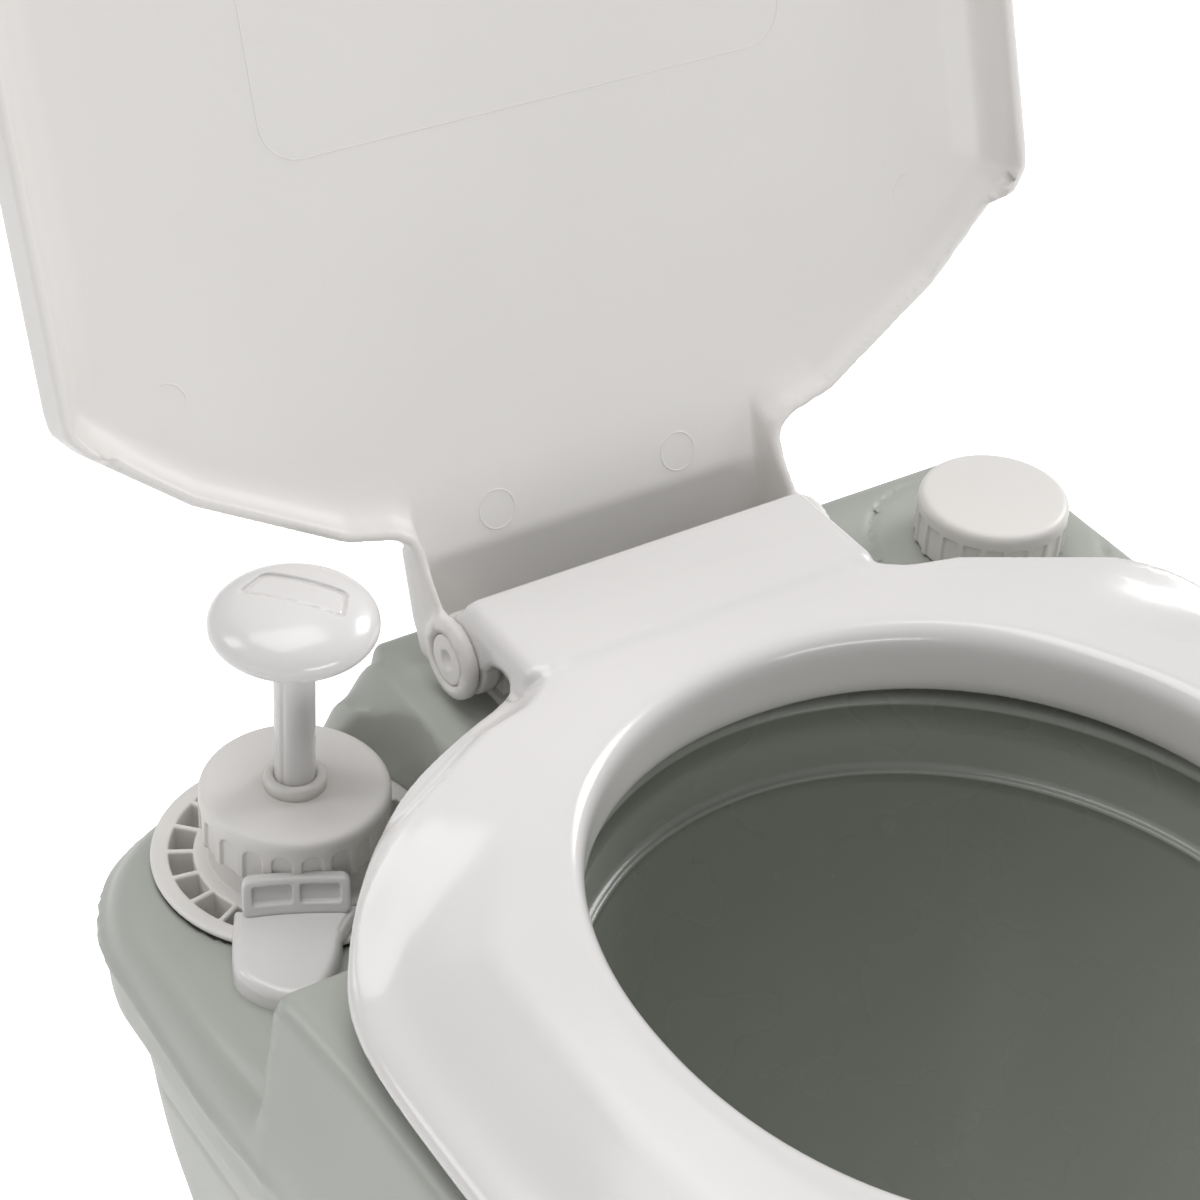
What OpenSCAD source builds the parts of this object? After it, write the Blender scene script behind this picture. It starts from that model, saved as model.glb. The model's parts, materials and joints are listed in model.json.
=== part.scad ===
/* [Body] */
// Greatest width, across the shoulders of the upper tank
body_w = 368; // [352:1:384]
// Greatest depth, front to back
body_d = 414; // [400:1:430]
// Height of the joint between the two tanks
waist_z = 182; // [178:1:186]
// Height of the deck under the seat
deck_z = 374; // [372:0.5:375]
// Wall thickness of both tanks
wall = 3.5; // [3:0.5:4]

/* [Hinge] */
// Distance of the hinge axis behind the middle of the footprint
hinge_y = 162; // [160:0.5:164]
// Height of the hinge axis above the floor
hinge_z = 390; // [389:0.5:392]
// Angle at which the lid stands open
lid_open = 110; // [95:1:115]
// Radius of the hinge pins
hinge_pin_r = 5; // [4:0.5:6]

/* [Lid and seat] */
// Width of the lid
lid_w = 345.6; // [340:0.4:350]
// Length of the lid in front of the hinge axis
lid_l = 362; // [355:1:366]
// Width of the seat ring
seat_w = 345; // [336:1:345]
// Width of the opening in the seat
seat_hole_w = 218; // [205:1:222]

/* [Flush pump] */
// Distance of the pump to the left of the middle
pump_off = 123; // [121:0.5:125]
// Height of the middle of the handle knob, pulled up
knob_z = 426; // [400:1:430]
// Radius of the handle knob
knob_r = 25; // [22:0.5:26]
// Radius of the pump rod
rod_r = 6.2; // [5:0.1:7]
// Outer radius of the pump nut
nut_r = 29; // [28:0.5:30]

/* [Filler] */
// Distance of the filler to the right of the middle
fill_off = 132.5; // [130:0.5:134]
// Outer radius of the filler cap
fill_r = 25; // [24:0.5:26]

/* [Waste tank] */
// Radius of the waste opening
outlet_r = 43; // [40:1:45]
// Height of the pivots of the side latches
latch_z = 132; // [130:1:134]
// Radius of the pouring spout
spout_r = 19; // [17:1:20]

/* [Hidden] */
$fn = 64;

grey = [0.67, 0.70, 0.67];
white = [0.88, 0.87, 0.86];
ivory = [0.85, 0.83, 0.80];
rubber = [0.20, 0.20, 0.21];
steel = [0.70, 0.71, 0.73];

run = 0.08;       // radial running clearance of a pin or rod in its bore
bowl_y = -16;     // middle of the seat opening, in front of the footprint's middle
bowl_stretch = 1.06; // the bowl is this much longer than wide
seat_y = -25;     // middle of the seat ring
pipe_z = 358;     // height of the flush pipe
pump_y = hinge_y - 3;
pump_deck_z = 337;
fill_y = hinge_y - 14;
outlet_y = bowl_y;

/* ---- shared shapes ---- */

// Plate with a different radius at each corner; the two front corners match
module plate(z, h, w, d_front, d_rear, r_front, r_left, r_right) {
    translate([0, 0, z]) hull() {
        for (s = [-1, 1]) translate([s * (w - r_front), r_front - d_front, 0]) cylinder(r = r_front, h = h);
        translate([r_left - w, d_rear - r_left, 0]) cylinder(r = r_left, h = h);
        translate([w - r_right, d_rear - r_right, 0]) cylinder(r = r_right, h = h);
    }
}

// Solid form of the upper tank, drawn in on all sides by an inset
module upper_form(inset) {
    w = body_w / 2;
    d = body_d / 2;
    hull() {
        plate(waist_z + inset, 1, w - 26 - inset, d - 21 - inset, d - 21 - inset, 80, 40, 24);
        plate(300, 1, w - 4 - inset, d - 4 - inset, d - 4 - inset, 84, 48, 26);
        plate(334, 8, w - inset, d - inset, d - inset, 86, 50, 28);
        plate(deck_z - 9 - inset, 1, w - 4 - inset, d - 4 - inset, d - 7 - inset, 84, 48, 26);
        plate(deck_z - 1 - inset, 1, w - 10 - inset, d - 10 - inset, d - 13 - inset, 80, 44, 22);
    }
}

// Space above the lowered pump deck, grown on all sides by a margin
module pump_well(grow) {
    reach = 120;
    translate([-92 + grow - reach, hinge_y - 87 - grow, pump_deck_z - grow])
        cube([reach, 150, 80]);
    at_pump() translate([0, 0, pump_deck_z - grow]) cylinder(r = 44.6 + grow, h = 80);
}

// Solid form of the waste tank
module waste_form(inset) {
    w = body_w / 2;
    d = body_d / 2;
    hull() {
        plate(inset, 1, w - 20 - inset, d - 18 - inset, d - 18 - inset, 70, 34, 34);
        plate(8, 1, w - 16 - inset, d - 14 - inset, d - 14 - inset, 72, 36, 36);
        plate(80, 8, w - 12 - inset, d - 11 - inset, d - 11 - inset, 76, 40, 40);
        plate(waist_z - 7 - inset, 1, w - 24 - inset, d - 19 - inset, d - 19 - inset, 78, 38, 38);
    }
}

// Recess at the back of the waste tank that holds the spout and the vent
module spout_bay(grow) {
    translate([-154 - grow, 116 - grow, 96 - grow]) cube([262 + 2 * grow, 120, 120]);
}

// Channel across the top of the waste tank for the sliding valve
module valve_bay(grow) {
    translate([-62 - grow, -body_d / 2 - 20, 166 - grow]) cube([124 + 2 * grow, 290 + grow, 60]);
}

// Recess in the side of a tank for a latch
module latch_bay(side, z0, z1, depth, grow) {
    x0 = depth - grow;
    translate([side > 0 ? x0 : -x0 - 80, -20 - grow, z0 - grow])
        cube([80, 40 + 2 * grow, z1 - z0 + 2 * grow]);
}

module ring(r_out, r_in, z, h) {
    translate([0, 0, z]) difference() {
        cylinder(r = r_out, h = h);
        translate([0, 0, -1]) cylinder(r = r_in, h = h + 2);
    }
}

module at_pump() translate([-pump_off, pump_y, 0]) children();
module at_fill() translate([fill_off, fill_y, 0]) children();
module at_outlet() translate([0, outlet_y, 0]) children();

// Cylinder along X from x0 to x1, centred on the hinge axis
module hinge_rod(r, x0, x1) {
    translate([x0, hinge_y, hinge_z]) rotate([0, 90, 0]) cylinder(r = r, h = x1 - x0);
}

/* ---- waste unit ---- */

latch_pivot_x = 160.7;
latch_pin_r = 3;

module waste_tank() color(grey) difference() {
    waste_form(0);
    difference() {
        waste_form(wall);
        spout_bay(wall);
        valve_bay(wall);
        for (s = [-1, 1]) latch_bay(s, 122, 200, 149.5, wall);
    }
    spout_bay(0);
    valve_bay(0);
    for (s = [-1, 1]) latch_bay(s, 122, 200, 149.5, 0);
    at_outlet() translate([0, 0, 150]) cylinder(r = outlet_r + 2, h = 30);
    for (s = [-1, 1]) translate([s * latch_pivot_x, 30, latch_z]) rotate([90, 0, 0])
        cylinder(r = latch_pin_r + 0.03, h = 60);
    translate([spout_x, spout_y, 80]) cylinder(r = spout_r - 1, h = 20);
    translate([vent_x, spout_y, 80]) cylinder(r = 4, h = 20);
}

frame_top = 178;
slot_z = 172;
slot_h = 3.4;
frame_rear = 62;
frame_front = -78;
screw_spots = [for (x = [-52, 52], y = [-70, -8, 54]) [x, y]];

module valve_frame() color(ivory) difference() {
    translate([-58, frame_front, 166.2]) cube([116, frame_rear - frame_front, frame_top - 166.2]);
    at_outlet() translate([0, 0, 160]) cylinder(r = outlet_r, h = 30);
    translate([-48.6, frame_front - 1, slot_z]) cube([97.2, frame_rear - frame_front - 10, slot_h]);
    for (p = screw_spots) translate([p[0], p[1], 160]) cylinder(r = 2.2, h = 30);
}

module valve_seal() color(rubber) at_outlet() ring(outlet_r + 4, outlet_r + 1, frame_top, waist_z + 1.9 - frame_top);

module valve_screws() color(steel) for (p = screw_spots) translate([p[0], p[1], 0]) {
    translate([0, 0, 166.4]) cylinder(r = 2.1, h = frame_top - 166.4);
    translate([0, 0, frame_top]) cylinder(r = 4, h = 2.4);
}

blade_z = slot_z + 0.4;
blade_h = 2.6;
blade_rear = 40;
handle_y = -196;

module valve_blade() color(ivory) {
    translate([-48, -64, blade_z]) cube([96, blade_rear + 64, blade_h]);
    translate([-22, handle_y, blade_z]) cube([44, -64 - handle_y + 1, blade_h]);
}

module valve_handle() color(white) difference() {
    translate([0, handle_y - 0.1, 166.8]) union() {
        translate([-44, -10, 0]) cube([88, 10, 14]);
        for (s = [-1, 1]) translate([s * 44, -5, 0]) cylinder(r = 5, h = 14);
    }
    translate([-36, handle_y - 5, 160]) cube([72, 3, 17]);
}

spout_x = -104;
spout_y = 160;
spout_z = 132;
spout_end = spout_x + 92;

module spout_collar() color(white) translate([spout_x, spout_y, 0])
    ring(spout_r + 9, spout_r + run, 96.1, 11);

module spout_seal() color(rubber) translate([spout_x, spout_y, 0])
    ring(spout_r + 5, spout_r + run, 107.2, 2.4);

// Runs up out of the collar, then along X, with a ball at the bend
module pour_spout() color(ivory) difference() {
    union() {
        translate([spout_x, spout_y, 97]) cylinder(r = spout_r, h = spout_z - 97);
        translate([spout_x, spout_y, spout_z]) sphere(r = spout_r);
        translate([spout_x, spout_y, spout_z]) rotate([0, 90, 0]) cylinder(r = spout_r, h = 92);
    }
    translate([spout_x, spout_y, 90]) cylinder(r = spout_r - 2.5, h = spout_z - 90);
    translate([spout_x, spout_y, spout_z]) sphere(r = spout_r - 2.5);
    translate([spout_x, spout_y, spout_z]) rotate([0, 90, 0]) cylinder(r = spout_r - 2.5, h = 100);
}

module spout_cap() color(white) translate([spout_end, spout_y, spout_z]) rotate([0, 90, 0]) difference() {
    translate([0, 0, -16]) cylinder(r = spout_r + 4.5, h = 21);
    translate([0, 0, -17]) cylinder(r = spout_r + run, h = 19);
    for (a = [0:20:340]) rotate(a) translate([spout_r + 5.2, 0, -17]) cylinder(r = 1.6, h = 18);
}

module spout_cap_seal() color(rubber) translate([spout_end, spout_y, spout_z]) rotate([0, 90, 0])
    ring(spout_r - 0.4, spout_r - 6, 0.1, 1.8);

vent_x = 66;

module vent_cup() color(white) translate([vent_x, spout_y, 0]) difference() {
    translate([0, 0, 96.1]) cylinder(r = 13, h = 15);
    translate([0, 0, 99]) cylinder(r = 9, h = 20);
    translate([0, 0, 90]) cylinder(r = 3 + run, h = 20);
}

module vent_button() color(grey) translate([vent_x, spout_y, 0]) {
    translate([0, 0, 108]) cylinder(r = 8.5, h = 9);
    translate([0, 0, 90]) cylinder(r = 3, h = 19);
}

// Coil of square wire between the floor of the cup and the button
module vent_spring() color(steel) translate([vent_x, spout_y, 0])
    for (k = [0:3]) ring(6.4, 5.2, 99.1 + k * 2.4, 1.2);

// Lever that pivots on the waste tank and hooks over a lug on the upper tank
module latch(side) color(white) translate([side * latch_pivot_x, 0, 0]) mirror([side < 0 ? 1 : 0, 0, 0])
    difference() {
        union() {
            translate([0, 15, 0]) rotate([90, 0, 0]) linear_extrude(30)
                polygon([[-2.7, latch_z], [-2.7, 196.5], [-11.7, 205.5], [-11.7, 209], [-7.7, 214],
                         [0, 214], [2.8, 209], [2.8, latch_z]]);
            translate([0, 15, latch_z]) rotate([90, 0, 0]) cylinder(r = 6, h = 30);
        }
        translate([0, 16, latch_z]) rotate([90, 0, 0]) cylinder(r = latch_pin_r + run, h = 32);
    }

module latch_left() latch(-1);
module latch_right() latch(1);

module latch_pins() color(steel) for (s = [-1, 1])
    translate([s * latch_pivot_x, 23, latch_z]) rotate([90, 0, 0]) cylinder(r = latch_pin_r, h = 46);

/* ---- upper unit ---- */

// Wedge on the side of the upper tank that a latch hooks over
module latch_lug(side) mirror([side < 0 ? 1 : 0, 0, 0]) translate([0, 14, 0]) rotate([90, 0, 0])
    linear_extrude(28) polygon([[146, 192], [153, 192], [156.5, 195.5], [156.5, 197], [146, 207.5]]);

module upper_tank() color(grey) {
    difference() {
        upper_form(0);
        difference() {
            upper_form(wall);
            pump_well(wall);
            for (s = [-1, 1]) latch_bay(s, 170, 226, 147, wall);
        }
        pump_well(0);
        for (s = [-1, 1]) latch_bay(s, 170, 226, 147, 0);
        translate([0, bowl_y, deck_z - 40]) scale([1, bowl_stretch, 1]) cylinder(r = 118.5, h = 60);
        at_outlet() translate([0, 0, waist_z - 2]) cylinder(r = outlet_r + 11, h = 20);
        at_pump() translate([0, 0, 320]) cylinder(r = 41.2, h = 40);
        at_fill() translate([0, 0, 350]) cylinder(r = fill_r - 4.7, h = 40);
        translate([-129, 60, pipe_z]) rotate([-90, 0, 0]) cylinder(r = 4.8, h = 30);
    }
    for (s = [-1, 1]) latch_lug(s);
}

bowl_wall = 3;
ledge_z = 350;
throat_z = 222;
// Inner half-width of the bowl at a share t of the height between throat and ledge
function bowl_r(t) = outlet_r + (107 - outlet_r) * pow(sin(90 * t), 0.72);
bowl_steps = 10;
bowl_side = [for (k = [0:bowl_steps]) [bowl_r(k / bowl_steps), throat_z + k / bowl_steps * (ledge_z - throat_z)]];

module bowl() color(grey) difference() {
    translate([0, bowl_y, 0]) scale([1, bowl_stretch, 1]) rotate_extrude($fn = 96) polygon(concat(
        [[outlet_r - 3, waist_z + 2]], [for (p = bowl_side) p],
        [[114, ledge_z + 3], [115, deck_z + 3], [122, deck_z + 3], [122, deck_z + 0.3], [118, deck_z + 0.3], [117, ledge_z]],
        [for (k = [bowl_steps:-1:0]) bowl_side[k] + [bowl_wall, -bowl_wall]],
        [[outlet_r, waist_z + 14], [outlet_r, waist_z + 2]]
    ));
    translate([-125, bowl_y, pipe_z]) rotate([0, 90, 0]) cylinder(r = 4.7, h = 20);
}

module hinge_bracket() color(ivory) difference() {
    union() {
        translate([-56, hinge_y - 11, deck_z + 0.2]) cube([112, 22, 2.8]);
        for (s = [-1, 1]) {
            hinge_rod(9, s * 48 - 6, s * 48 + 6);
            translate([s * 48 - 6, hinge_y - 9, deck_z + 1]) cube([12, 18, hinge_z - deck_z - 1]);
        }
    }
    hinge_rod(hinge_pin_r + 0.03, -60, 60);
    for (x = [-30, 30]) translate([x, hinge_y, deck_z - 1]) cylinder(r = 2.2, h = 10);
}

module bracket_screws() color(steel) for (x = [-30, 30]) translate([x, hinge_y, deck_z]) {
    translate([0, 0, 0.2]) cylinder(r = 2.1, h = 3);
    translate([0, 0, 3.1]) cylinder(r = 4.2, h = 2.4);
}

pin_head_r = 8.2;
module hinge_pin(side) color(ivory) mirror([side < 0 ? 1 : 0, 0, 0]) difference() {
    union() {
        hinge_rod(hinge_pin_r, 42.5, 67.5);
        hinge_rod(pin_head_r, 67.3, 69.3);
    }
    hinge_rod(2.6, 68.3, 70);
}

module hinge_pin_left() hinge_pin(-1);
module hinge_pin_right() hinge_pin(1);

// Closed curve between an ellipse and a rectangle, rounder for a lower power
function oval(a, b_front, b_rear, power, n = 96) = [for (k = [0:n - 1])
    let (t = 360 * k / n, c = cos(t), s = sin(t), b = s < 0 ? b_front : b_rear)
    [a * sign(c) * pow(abs(c), 2 / power), b * sign(s) * pow(abs(s), 2 / power)]];

// Half outline of the seat ring: across, and forward of the hinge axis. The back is drawn in by r, the rest by i
function seat_half(i, r) = [
    [0, 16 + r], [56, 18 + r], [74 - r * 0.4, 27 + r * 0.9], [95 - r * 0.5, 39.5 + r * 0.86],
    [118 - r * 0.6, 56 + r * 0.8], [139 - r * 0.7, 76 + r * 0.72], [157 - (i + r) * 0.4, 97 + (i + r) * 0.3],
    [seat_w / 2 - 5.5 - i * 0.96, 114 + i * 0.3], [seat_w / 2 - 1 - i, 138],
    for (t = [0:7.5:90]) [(seat_w / 2 - i) * pow(cos(t), 0.87), hinge_y - seat_y + (171.5 - i) * pow(sin(t), 0.87)]];

module seat_layer(i, r, z, h) {
    half = seat_half(i, r);
    translate([0, hinge_y, z]) linear_extrude(h) polygon(concat(
        [for (p = half) [p[0], -p[1]]],
        [for (k = [len(half) - 2:-1:1]) [-half[k][0], -half[k][1]]]));
}

seat_low = hinge_z - 6;
module seat_hole(grow, z, h) translate([0, bowl_y, z]) linear_extrude(h)
    polygon(oval(seat_hole_w / 2 + grow, 117 + grow, 116 + grow, 2.1));

seat_end = 64.2;
block_front = 36.6;
module seat() color(white) difference() {
    union() {
        difference() {
            union() {
                hull() { seat_layer(0, 0, seat_low, 5); seat_layer(12.5, 1, hinge_z + 2.9, 0.1); }
                hull() { seat_layer(12.5, 1, hinge_z + 2.9, 0.1); seat_layer(26, 6, hinge_z + 9.8, 0.1); }
                hull() { seat_layer(26, 6, hinge_z + 9.8, 0.1); seat_layer(36, 15, hinge_z + 16.4, 0.1); }
            }
            difference() {
                union() {
                    hull() { seat_layer(5, 4, seat_low - 1, 3); seat_layer(30, 10, hinge_z + 6.5, 0.1); }
                    hull() { seat_layer(30, 10, hinge_z + 6.5, 0.1); seat_layer(40, 19, hinge_z + 12.8, 0.1); }
                }
                seat_hole(3, seat_low - 2, 40);
            }
        }
        // hinge block that joins the back of the ring
        difference() {
            translate([-seat_end, hinge_y - block_front, hinge_z + 2]) cube([2 * seat_end, block_front + 2.4, 16.5]);
            translate([-seat_end + 7.2, hinge_y - 60, hinge_z + 1]) cube([2 * seat_end - 14.4, 70, 13.5]);
            hinge_rod(13.2, -100, 100);
        }
        for (s = [-1, 1]) mirror([s < 0 ? 1 : 0, 0, 0]) {
            hinge_rod(13, seat_end - 7, seat_end);
            translate([seat_end - 7, hinge_y - 16, hinge_z + 4]) cube([7, 18.4, 13]);
        }
    }
    seat_hole(0, seat_low - 2, 40);
    hinge_rod(hinge_pin_r + run, -80, 80);
    // room for the bracket posts as the seat swings
    hinge_rod(12, -56.8, 56.8);
    translate([-56.8, hinge_y - 14, seat_low - 3]) cube([113.6, 30, 18]);
    // room for the rim of the shut lid
    translate([0, 0, hinge_z + 10.3]) linear_extrude(20) difference() {
        translate([-200, hinge_y - 110]) square([400, 130]);
        polygon(lid_outline(3.3));
        translate([-seat_end, hinge_y - 60]) square([2 * seat_end, 80]);
    }
    translate([0, 0, hinge_z + 2.9]) linear_extrude(20) difference() {
        translate([-200, hinge_y - 400]) square([400, 312]);
        polygon(lid_outline(3.3));
    }
    for (s = [-1, 1]) mirror([s < 0 ? 1 : 0, 0, 0])
        translate([seat_end, hinge_y - 37, hinge_z + 8.4]) cube([4.6, 40, 20]);
}

bumper_spots = [[-138, -70], [138, -70], [-120, 60], [120, 60]];
module seat_bumpers() color(rubber) for (p = bumper_spots) translate([p[0], p[1], deck_z + 0.2])
    cylinder(r = 7, h = hinge_z + 3 - deck_z);

lid_low = 3.7;
lid_low_rear = 11.2; // the back edges of the rim are shallower
lid_inner = 20;
lid_top = 22.8;
// Half outline of the lid, drawn in by an inset: across the axis, and forward of it
function lid_half(i) = [
    [67.5 - i, i - 3], [67.5 - i, 33 + i * 0.5], [74 - i * 0.6, 37 + i], [90, 41 + i], [135, 67 + i],
    [lid_w / 2 - i, 97 + i * 0.6], [lid_w / 2 - i, lid_l - 70],
    for (t = [15:15:75]) [lid_w / 2 - 66 + (66 - i) * cos(t), lid_l - 70 + (60 - i) * sin(t)],
    [lid_w / 2 - 70, lid_l - 6 - i], [0, lid_l - i]];
function lid_outline(i) = concat(
    [for (p = lid_half(i)) [p[0], hinge_y - p[1]]],
    [for (k = [len(lid_half(i)) - 2:-1:0]) [-lid_half(i)[k][0], hinge_y - lid_half(i)[k][1]]]);

// The lid lying shut
module lid_shut() difference() {
    union() {
        difference() {
            translate([0, 0, hinge_z + lid_low]) linear_extrude(lid_top - lid_low) polygon(lid_outline(0));
            translate([-200, hinge_y - 88, hinge_z - 1]) cube([400, 73, 1 + lid_low_rear]);
        }
        for (s = [-1, 1]) mirror([s < 0 ? 1 : 0, 0, 0]) {
            hinge_rod(13.2, 65, 70.2);
            translate([65, 0, 0]) rotate([90, 0, 90]) linear_extrude(2.5)
                polygon([[hinge_y, hinge_z - 2], [hinge_y + 12.6, hinge_z + 4], [hinge_y - 8, hinge_z + lid_top],
                         [hinge_y - 30, hinge_z + lid_top], [hinge_y - 30, hinge_z + 14], [hinge_y - 12.6, hinge_z + 4]]);
        }
    }
    translate([0, 0, hinge_z - 10]) linear_extrude(lid_inner + 10) polygon(lid_outline(2.5));
    translate([-65, hinge_y - 34, hinge_z - 10]) cube([130, 60, lid_inner + 10]);
    hinge_rod(hinge_pin_r + run, -80, 80);
    for (s = [-1, 1]) mirror([s < 0 ? 1 : 0, 0, 0]) hinge_rod(pin_head_r + 0.5, 67.1, 80);
}

module lid() color(white) translate([0, hinge_y, hinge_z]) rotate([-lid_open, 0, 0])
    translate([0, -hinge_y, -hinge_z]) lid_shut();

/* ---- pump ---- */

nut_low = 349.4;
nut_top = 366;
flange_top = pump_deck_z + 2.8;
neck_r = 24.4;
barrel_r = 22.5;

module pump_flange() color(ivory) at_pump() difference() {
    union() {
        translate([0, 0, pump_deck_z + 0.6]) cylinder(r = 44, h = 2.2);
        translate([0, 0, pump_deck_z - 11]) cylinder(r = 40.8, h = 12);
        translate([0, 0, pump_deck_z]) cylinder(r = 26.6, h = 12);
        translate([0, 0, pump_deck_z]) cylinder(r = neck_r, h = 25);
    }
    translate([0, 0, 300]) cylinder(r = barrel_r + 0.05, h = 80);
    difference() {
        translate([0, 0, pump_deck_z - 9]) cylinder(r = 38.4, h = 30);
        translate([0, 0, pump_deck_z - 10]) cylinder(r = 31, h = 40);
        for (a = [0:18:170]) rotate(a) translate([-50, -0.9, pump_deck_z - 10]) cube([100, 1.8, 12.8]);
    }
}

module pump_gasket() color(rubber) at_pump() ring(43.6, 41.4, pump_deck_z + 0.05, 0.5);

module pump_nut() color(ivory) at_pump() difference() {
    translate([0, 0, nut_low]) union() {
        cylinder(r = nut_r, h = nut_top - nut_low - 2);
        translate([0, 0, nut_top - nut_low - 2]) cylinder(r1 = nut_r, r2 = nut_r - 2, h = 2);
    }
    translate([0, 0, nut_low - 1]) cylinder(r = neck_r + 0.4, h = nut_top - nut_low - 1.6);
    translate([0, 0, nut_low]) cylinder(r = 8.2, h = 30);
    for (a = [0:18:342]) rotate(a) translate([nut_r - 1, -3.2, nut_low - 1]) cube([4, 6.4, 11]);
}

module pump_bush() color(ivory) at_pump() {
    ring(8.15, rod_r + run, nut_top - 4, 5);
    ring(9.6, rod_r + run, nut_top + 0.05, 4);
}

piston_z = 296;
module pump_rod() color(white) at_pump() difference() {
    translate([0, 0, piston_z + 2]) cylinder(r = rod_r, h = knob_z - 6 - piston_z - 2);
    translate([-20, 0, knob_z - 40]) rotate([0, 90, 0]) cylinder(r = 1.4, h = 40);
}

// Flattened dome above and below the widest circle of the knob
module pump_knob() color(white) at_pump() translate([0, 0, knob_z]) difference() {
    rotate_extrude() polygon(concat(
        [[0, -8.5]],
        [for (t = [-80:10:80]) [knob_r * pow(cos(t), 0.62), (t < 0 ? 8.5 : 10) * sin(t)]],
        [[0, 10]]));
    translate([0, 0, -10]) cylinder(r = rod_r + 0.05, h = 4);
    translate([-9, -4, 9.3]) cube([18, 8, 3]);
}

module pump_piston() color(ivory) at_pump() difference() {
    translate([0, 0, piston_z]) cylinder(r = 19.4, h = 14);
    translate([0, 0, piston_z + 1.9]) cylinder(r = rod_r + 0.05, h = 20);
    ring(21, 17.4, piston_z + 5, 4);
}

module piston_seal() color(rubber) at_pump() ring(20 - 0.06, 17.45, piston_z + 5.1, 3.8);

barrel_low = 206;
module pump_barrel() color(ivory) at_pump() ring(barrel_r, 20, barrel_low, 352 - barrel_low);

module foot_valve() color(ivory) at_pump() difference() {
    translate([0, 0, barrel_low]) cylinder(r = 19.95, h = 8);
    translate([0, 0, barrel_low - 1]) cylinder(r = 6, h = 12);
}

module valve_ball() color(steel) at_pump() translate([0, 0, barrel_low + 8 + 5.35]) sphere(r = 8);

module strainer() color(ivory) at_pump() difference() {
    translate([0, 0, barrel_low - 14]) cylinder(r = barrel_r, h = 13.9);
    translate([0, 0, barrel_low - 11]) cylinder(r = 20, h = 20);
    for (a = [0:30:150]) rotate(a) translate([-30, -1.2, barrel_low - 10]) cube([60, 2.4, 7]);
}

cover_turn = -25; // the flush channel leaves the pump this far to the left of straight ahead
module flush_channel_cover() color(white) difference() {
    at_pump() rotate(cover_turn) translate([0, 0, flange_top + 0.2]) hull() {
        translate([-19, -46, 0]) cube([38, 14, 5.2]);
        translate([0, -66, 0]) cylinder(r = 13, h = 4.4, $fn = 32);
        translate([2, -78, 0]) cylinder(r = 7, h = 4, $fn = 32);
    }
    translate([-200, 0, 300]) cube([200, hinge_y - 86.6, 100]);
}

module cover_clip() color(white) at_pump() rotate(cover_turn) difference() {
    translate([-15, -35.5, flange_top + 5.6]) cube([30, 8, 3.2]);
    for (x = [-12.6, 1]) translate([x, -34, flange_top]) cube([11.6, 4, 20]);
}

// Runs forward beside the bowl, then in through its side
module flush_run(r) {
    translate([-129, 0, pipe_z]) rotate([-90, 0, 0]) translate([0, 0, bowl_y]) cylinder(r = r, h = 78 - bowl_y);
    translate([-129, bowl_y, pipe_z]) sphere(r = r);
    translate([-129, bowl_y, pipe_z]) rotate([0, 90, 0]) cylinder(r = r, h = 15.4);
}

module flush_pipe() color(ivory) difference() {
    flush_run(4.6);
    flush_run(3);
    translate([-129, 70, pipe_z]) rotate([-90, 0, 0]) cylinder(r = 3, h = 20);
    translate([-120, bowl_y, pipe_z]) rotate([0, 90, 0]) cylinder(r = 3, h = 20);
}

module flush_nozzle() color(white) translate([-113.4, bowl_y, pipe_z]) difference() {
    translate([0, -10, -4]) cube([6.4, 20, 9]);
    rotate([0, 90, 0]) cylinder(r = 3, h = 5, center = true);
    translate([1.4, -8, -5]) cube([3.4, 16, 7.6]);
}

/* ---- filler ---- */

fill_top = 393;
module fill_neck() color(grey) at_fill() {
    ring(fill_r - 2.5, fill_r - 7, deck_z + 0.1, 13);
    ring(fill_r - 4.9, fill_r - 7, deck_z - 6, 7);
}

module fill_cap() color(ivory) at_fill() difference() {
    union() {
        translate([0, 0, deck_z + 0.6]) cylinder(r = fill_r, h = fill_top - deck_z - 2.2);
        translate([0, 0, fill_top - 1.6]) cylinder(r1 = fill_r, r2 = fill_r - 1.6, h = 1.6);
    }
    translate([0, 0, deck_z]) cylinder(r = fill_r - 2.5 + run, h = 16.2);
    for (a = [0:18:342]) rotate(a) translate([fill_r - 1, -2.6, deck_z]) cube([4, 5.2, 13]);
}

module fill_cap_seal() color(rubber) at_fill() ring(fill_r - 3, fill_r - 8, deck_z + 13.2, 2.8);

waste_tank();
valve_frame();
valve_seal();
valve_screws();
valve_blade();
valve_handle();
spout_collar();
spout_seal();
pour_spout();
spout_cap();
spout_cap_seal();
vent_cup();
vent_spring();
vent_button();
latch_left();
latch_right();
latch_pins();
upper_tank();
bowl();
hinge_bracket();
bracket_screws();
hinge_pin_left();
hinge_pin_right();
seat();
seat_bumpers();
lid();
pump_flange();
pump_gasket();
pump_nut();
pump_bush();
pump_rod();
pump_knob();
pump_piston();
piston_seal();
pump_barrel();
foot_valve();
valve_ball();
strainer();
flush_channel_cover();
cover_clip();
flush_pipe();
flush_nozzle();
fill_neck();
fill_cap();
fill_cap_seal();
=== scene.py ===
"""The looks of a portable cassette toilet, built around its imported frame.

Shapes are described as distance fields in millimetres: a field is negative inside the solid. field_mesh()
turns one into a mesh. Positions come from the frame's own boxes.
"""

import json
import math

import bpy
import numpy as np
from mathutils import Matrix, Vector


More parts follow.
